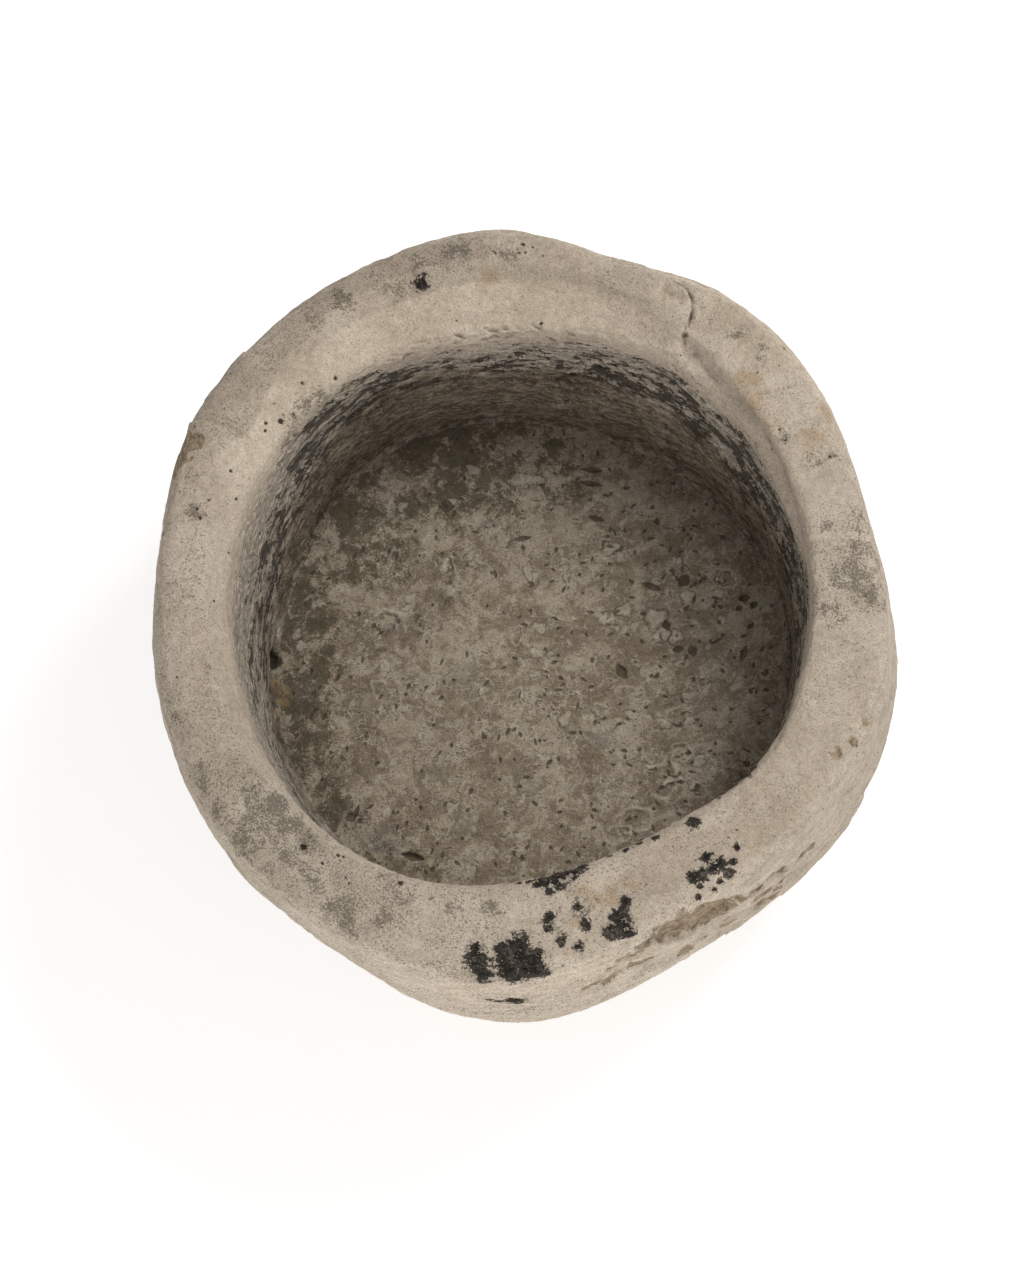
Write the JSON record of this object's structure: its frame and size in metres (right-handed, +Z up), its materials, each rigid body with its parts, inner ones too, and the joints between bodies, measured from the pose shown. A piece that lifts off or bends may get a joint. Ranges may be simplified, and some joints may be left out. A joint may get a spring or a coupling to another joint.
{
  "type": "stone mortar bowl",
  "caption": "Heavy hand-carved stone mortar bowl with a thick worn rim, a steep-walled round hollow and a flat grinding floor.",
  "frame": {"origin": "centre of the footprint's bounding box, on the plane the bowl stands on", "axes": "+Z up out of the bowl's mouth; -Y towards the side where the outer wall is fullest and the lip comes furthest in; +Y towards the widest part of the rim; +X to the right when looked at from -Y"},
  "size_m": [0.3988, 0.4287, 0.155],
  "materials": {
    "stone": "matte"
  },
  "bodies": {
    "root": {"mortar_bowl": "stone"}
  },
  "joints": []
}
